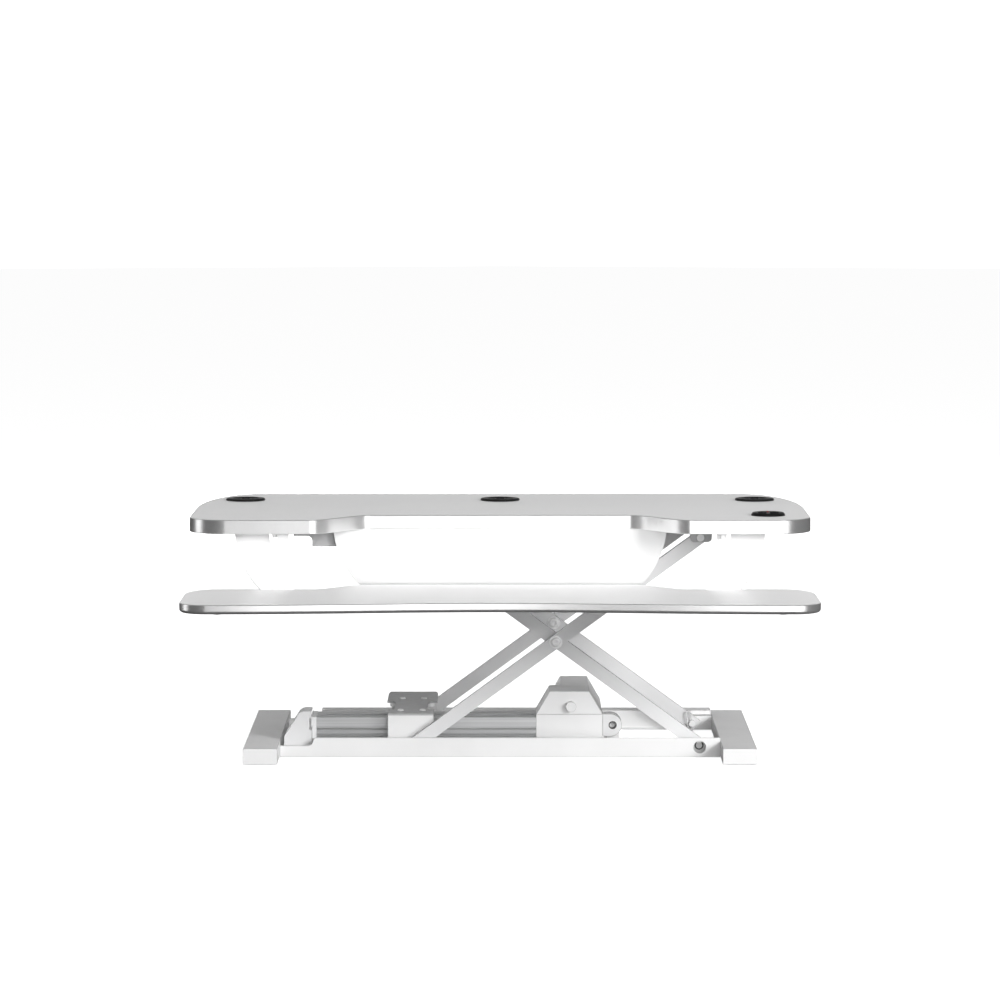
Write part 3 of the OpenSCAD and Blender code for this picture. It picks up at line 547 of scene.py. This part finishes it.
def make_cover():
    """The formed panel behind the keyboard: gently bulged, folded back under the worktop."""
    low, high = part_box("front_cover")
    front, under = low.y, TOP_LOW.z
    across, up, bulge, corner = 72, 36, 3.0 * MM, 9.0 * MM
    bm = bmesh.new()
    rows = []
    for j in range(up + 1):
        t = j / up
        z = low.z + (under - 0.3 * MM - low.z) * t
        half = COVER_HALF - curl(z, under + CURL_RISE, CURL_R)
        rise = z - low.z
        if rise < corner:
            half -= corner - math.sqrt(max(0.0, corner ** 2 - (corner - rise) ** 2))
        row = []
        for i in range(across + 1):
            u = math.sin(math.pi / 2 * (2 * i / across - 1))
            crown = bulge * (1 - abs(u) ** 3) * math.sin(math.pi * min(1.0, t * 0.9 + 0.05))
            foot = 3 * MM * max(0.0, 1 - rise / (5 * MM)) ** 2
            row.append(bm.verts.new((u * half, front - crown + foot, z)))
        rows.append(row)
    top = rows[-1]
    fold = [bm.verts.new((v.co.x * 0.99, high.y, v.co.z)) for v in top]
    rows.append(fold)
    for a, b in zip(rows, rows[1:]):
        for i in range(across):
            bm.faces.new((a[i], a[i + 1], b[i + 1], b[i]))
    panel = finish_piece(bm, "front_cover_panel", "front_cover", 60.0)
    skin = panel.modifiers.new("sheet", "SOLIDIFY")
    skin.thickness = COVER_SHEET
    skin.offset = -1.0
    panel.modifiers.move(1, 0)


def make_grommet_rings():
    """Moulded flanges with two fine grooves, and the sleeves that line the holes."""
    bm = bmesh.new()
    z = TOP_HIGH.z
    flange = [(24.0, -22.0), (30.8, -22.0), (30.8, -0.6), (31.4, 0.05), (39.4, 0.05), (40.0, 0.6),
              (40.0, 2.4), (39.4, 3.5), (38.4, 4.2), (36.8, 4.5), (36.3, 4.0), (35.8, 4.5),
              (32.8, 4.5), (32.3, 4.0), (31.8, 4.5), (27.2, 4.5), (26.4, 4.2), (26.05, 3.4),
              (26.05, -4.0), (24.0, -4.0), (24.0, -22.0)]
    for x, y in grommet_centres():
        lathe(bm, [(r * MM, z + h * MM) for r, h in flange], x, y, 96)
    bmesh.ops.remove_doubles(bm, verts=bm.verts, dist=1e-6)
    finish_piece(bm, "grommet_flanges", "grommet_rings", 50.0)


def make_cap_ridges(side, centre):
    """Raised rings on a grommet's cap, which stop short of its notch."""
    bm = bmesh.new()
    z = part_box("grommet_cap_" + side)[1].z
    for radius, gap_angle in ((8.0, 0.0), (15.5, 46.0), (19.5, 35.0), (23.0, 30.0)):
        start, end = 90 + gap_angle, 450 - gap_angle
        path = [(centre[0] + x * MM, centre[1] + y * MM, z) for x, y in
                arc(0, 0, radius, radius, start, end, 60)]
        if gap_angle:
            sweep(bm, path, 0.55 * MM, 8)
        else:
            sweep(bm, path[:-1], 0.55 * MM, 8, closed=True)
    finish_piece(bm, "cap_ridges_" + side, "grommet_cap_" + side, 60.0, instead=False)


def sweep(bm, path, radius, sides=12, closed=False):
    """A round wire along a path of points."""
    points = [Vector(p) for p in path]
    count = len(points)
    rings, up = [], None
    for i, p in enumerate(points):
        before = points[i - 1] if (i or closed) else p
        after = points[(i + 1) % count] if (i < count - 1 or closed) else p
        along = (after - before).normalized()
        if up is None:
            up = along.orthogonal().normalized()
        up = (up - along * up.dot(along)).normalized()
        side = along.cross(up)
        rings.append([bm.verts.new(p + (up * math.cos(a) + side * math.sin(a)) * radius)
                      for a in [2 * math.pi * k / sides for k in range(sides)]])
    pairs = list(zip(rings, rings[1:])) + ([(rings[-1], rings[0])] if closed else [])
    for a, b in pairs:
        bridge(bm, a, b)
    if not closed:
        bm.faces.new(rings[0][::-1])
        bm.faces.new(rings[-1])


PAD = Vector((centre("control_pad").x, centre("control_pad").y, TOP_HIGH.z))
PAD_R = 29.0 * MM               # hollow face
PAD_RISE = 6.0 * MM             # rim over the worktop
PAD_HOLLOW = 1.5 * MM
WELL_DEPTH = 2.0 * MM           # wells of the keys and the light, below the worktop's face
KEY_WELL_R = 8.6 * MM
LIGHT_WELL_R = 1.5 * MM
STEM_R = 21.8 * MM
STEM_DEPTH = 14.0 * MM


def dish(radius):
    """Height of the pad's hollow face over the worktop at a distance from its centre."""
    return PAD_RISE - PAD_HOLLOW * (1 - min(1.0, radius / PAD_R) ** 2)


def make_control_pad():
    """A hollowed round pad with wells for its two keys and its light."""
    bm = bmesh.new()
    holes = [(centre(n).x, centre(n).y, r) for n, r in
             (("button_up", KEY_WELL_R), ("button_down", KEY_WELL_R),
              ("status_light", LIGHT_WELL_R))]
    rim = ring_of(bm, PAD.x, PAD.y, 0.0, PAD_R, 96)
    edges = close_loop(bm, rim)
    for x, y, r in holes:
        edges += close_loop(bm, ring_of(bm, x, y, 0.0, r, 40))
    bmesh.ops.triangle_fill(bm, use_beauty=True, use_dissolve=False, edges=edges)
    inner = [e for e in bm.edges if len(e.link_faces) == 2]
    bmesh.ops.subdivide_edges(bm, edges=inner, cuts=3, use_grid_fill=True)
    bmesh.ops.triangulate(bm, faces=bm.faces)
    for v in bm.verts:
        v.co.z = PAD.z + dish(math.dist(v.co.xy, PAD.xy))
    for x, y, r in holes:
        high = ring_of(bm, x, y, 0.0, r, 40)
        for v in high:
            v.co.z = PAD.z + dish(math.dist(v.co.xy, PAD.xy))
        low = ring_of(bm, x, y, PAD.z - WELL_DEPTH, r, 40)
        bridge(bm, high, low)
    side = [(30.4, 6.0), (31.4, 5.1), (32.5, 3.6), (33.3, 2.0), (33.5, 0.0)]
    rows = [(PAD_R, PAD_RISE), (29.6 * MM, 6.2 * MM)] + [(r * MM, h * MM) for r, h in side]
    rows += [(STEM_R, 0.0), (STEM_R, -STEM_DEPTH)]
    rings = [ring_of(bm, PAD.x, PAD.y, PAD.z + h, r, 96) for r, h in rows]
    for a, b in zip(rings, rings[1:]):
        bridge(bm, a, b)
    bm.faces.new(rings[-1])
    bmesh.ops.remove_doubles(bm, verts=bm.verts, dist=2e-6)
    finish_piece(bm, "control_pad_dish", "control_pad", 45.0)


def make_key(name, points_to):
    """A round key with a hollow top and a raised triangle that points up or down the desk."""
    low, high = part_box(name)
    x, y, top = centre(name).x, centre(name).y, high.z
    bm = bmesh.new()
    face = [(8.5, 1.2), (8.2, 0.4), (7.4, 0.0), (6.6, 0.05), (4.5, 0.45), (2.2, 0.6), (0.0, 0.65)]
    profile = [(0.0, low.z), (8.4 * MM, low.z)] + [(r * MM, top - drop * MM) for r, drop in face]
    lathe(bm, profile, x, y, 48)
    arrow = [(-3.0, -1.8), (3.0, -1.8), (0.0, 2.8)]
    foot = [bm.verts.new((x + a * MM, y + b * MM * points_to, top - 0.7 * MM)) for a, b in arrow]
    head = [bm.verts.new((x + a * 0.8 * MM, y + b * 0.8 * MM * points_to, top - 0.1 * MM))
            for a, b in arrow]
    bm.faces.new(head)
    bridge(bm, foot, head)
    finish_piece(bm, name + "_key", name, 40.0)


def make_light():
    """A small domed lens."""
    low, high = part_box("status_light")
    middle = centre("status_light")
    r, top = 1.4 * MM, high.z
    bm = bmesh.new()
    profile = [(0.0, low.z), (r, low.z), (r, top - r)]
    profile += [(r * math.cos(math.radians(a)), top - r + r * math.sin(math.radians(a)))
                for a in (25, 50, 72)]
    profile.append((0.0, top))
    lathe(bm, profile, middle.x, middle.y, 32)
    finish_piece(bm, "status_light_dome", "status_light", 50.0)


# ---------- bolts, clips and screw ----------

FRONT = Matrix.Rotation(math.radians(90), 4, "X")


def make_center_bolts():
    """Flanged socket-head bolts at the scissor's crossings, both with their heads to the front."""
    low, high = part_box("center_bolts")
    x, z = (low.x + high.x) / 2, (low.z + high.z) / 2
    bm = bmesh.new()
    for face in (low.y + 6.0 * MM, high.y - 43.0 * MM):
        profile = [(0.0, -43.0), (6.5, -43.0), (6.5, 0.0), (13.0, 0.0), (13.3, 0.4), (13.3, 1.4),
                   (12.8, 1.9), (9.6, 2.0), (9.3, 2.3), (9.2, 4.6), (8.6, 5.6), (7.4, 6.0),
                   (5.2, 6.0), (4.8, 5.4), (4.6, 2.2), (0.0, 1.6)]
        place = Matrix.Translation((x, face, z)) @ FRONT
        lathe(bm, [(r * MM, h * MM) for r, h in profile], 0.0, 0.0, 6 * 12, place)
    finish_piece(bm, "center_bolt_heads", "center_bolts", 30.0)


def make_hairpins():
    """Sprung wire clips: a straight leg through the pin, and one that hugs it."""
    low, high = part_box("hairpin_clips")
    pivot = frame["record"]["behaviour"]["joints"][0]["pos_m"]
    wire = 1.4 * MM
    shape = [(0.0, -14.0), (0.0, 8.0), (0.0, 20.0)]
    shape += [(-6.0 + 6.0 * math.cos(math.radians(a)), 20.0 + 6.0 * math.sin(math.radians(a)))
              for a in range(20, 181, 20)]
    shape += [(-11.2, 16.0), (-9.4, 11.5), (-8.2, 8.5), (-8.6, 4.0), (-9.4, 0.0), (-8.6, -4.0),
              (-6.9, -7.5), (-6.4, -9.5), (-7.4, -12.5)]
    bm = bmesh.new()
    for y, turn in ((low.y + wire, -90.0), (high.y - wire, 0.0)):
        place = (Matrix.Translation((pivot[0], y, pivot[2]))
                 @ Matrix.Rotation(math.radians(turn), 4, "Y"))
        path = [place @ Vector(((a - 1.0) * MM, 0.0, b * MM)) for a, b in shape]
        sweep(bm, smoothed(path, 2), wire, 14)
    finish_piece(bm, "hairpin_wires", "hairpin_clips", 60.0)


def smoothed(path, rounds):
    """Cuts the corners of an open path, which keeps its two ends."""
    for _ in range(rounds):
        points = [Vector(p) for p in path]
        made = [points[0]]
        for a, b in zip(points, points[1:]):
            made += [a.lerp(b, 0.25), a.lerp(b, 0.75)]
        path = made + [points[-1]]
    return path


def make_lead_screw():
    """A rod with a rolled trapezoidal thread between its plain ends."""
    low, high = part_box("lead_screw")
    y, z, radius = (low.y + high.y) / 2, (low.z + high.z) / 2, (high.z - low.z) / 2
    pitch, depth, around = 5.0 * MM, 1.1 * MM, 20
    start, end = low.x + 8.0 * MM, high.x
    bm = bmesh.new()
    section = ((0.0, 0.0), (0.34, 0.0), (0.5, depth), (0.84, depth))
    steps = int((end - start) / pitch) * around
    rows = []
    for i in range(steps + 1):
        turn = 2 * math.pi * i / around
        row = []
        for share, cut in section:
            r = radius - cut
            row.append(bm.verts.new((min(end, start + (i / around + share) * pitch),
                                     y + r * math.cos(turn), z + r * math.sin(turn))))
        rows.append(row)
    for i in range(steps):
        a, b = rows[i], rows[i + 1]
        for k in range(3):
            bm.faces.new((a[k], a[k + 1], b[k + 1], b[k]))
        if i + around < steps:
            c, d = rows[i + around], rows[i + around + 1]
            bm.faces.new((a[3], c[0], d[0], b[3]))
    core = Matrix.Translation((low.x, y, z)) @ Matrix.Rotation(math.radians(90), 4, "Y")
    length = end - low.x
    lathe(bm, [(0.0, 0.0), (5.4 * MM, 0.0), (6.0 * MM, 0.6 * MM), (6.0 * MM, 8.0 * MM),
               (6.6 * MM, 8.2 * MM), (6.6 * MM, length - 0.5 * MM), (6.1 * MM, length),
               (0.0, length)], 0.0, 0.0, 40, core)
    finish_piece(bm, "lead_screw_thread", "lead_screw", 40.0)


# ---------- every piece ----------

# Edge radius in millimetres of each CAD node that keeps its own shape
SOFTENED = {
    "foot_left": 2.2, "foot_right": 2.2, "foot_caps": 0.8, "foot_pads": 0.5, "front_rail": 0.8,
    "rear_beam": 0.9, "end_bracket": 0.8, "rail_bolts": 0.6, "actuator_rail": 0.4,
    "rail_end_cap": 0.7, "gearbox_housing": 1.3, "gearbox_cover": 1.6, "gearbox_plug": 1.0,
    "motor_cover": 1.6, "motor": 1.0, "actuator_clevis": 1.3, "actuator_mount": 0.8,
    "pivot_lugs": 0.8, "pivot_bushes": 0.3, "pivot_pins": 0.8, "screw_gear": 0.4,
    "motor_worm": 0.5, "inner_arm_front": 2.4, "inner_arm_rear": 2.4,
    "outer_arm_front": 2.4, "outer_arm_rear": 2.4,
    "pivot_washers": 0.4, "carriage_block": 1.2, "carriage_plate": 1.0, "carriage_screws": 0.4,
    "carriage_axle": 0.6, "glide_shoes": 0.8, "drive_nut": 0.6, "slider_blocks": 0.8,
    "slider_axle": 0.6, "upper_rail_front": 0.8, "upper_rail_rear": 0.8, "hinge_brackets": 0.8,
    "hinge_pins": 0.8, "hanger_left": 1.0, "hanger_right": 1.0, "cable_clips": 0.8,
    "tray_bumpers": 0.8, "control_box": 1.5, "frame_screws": 0.4, "grommet_cap_left": 0.8,
    "grommet_cap_middle": 0.8, "grommet_cap_right": 0.8,
}

bpy.context.scene.view_settings.view_transform = "Standard"
add_camera()
add_world()
for light in LIGHTS:
    add_light(*light)
add_studio()

make_worktop()
make_edge_band()
make_tray()
make_cover()
make_grommet_rings()
for cap_side, cap_centre in zip(("left", "middle", "right"), grommet_centres()):
    make_cap_ridges(cap_side, cap_centre)
make_control_pad()
make_key("button_up", 1)
make_key("button_down", -1)
make_light()
make_center_bolts()
make_hairpins()
make_lead_screw()
for node_name, edge_radius in SOFTENED.items():
    softened(node_name, edge_radius * MM)
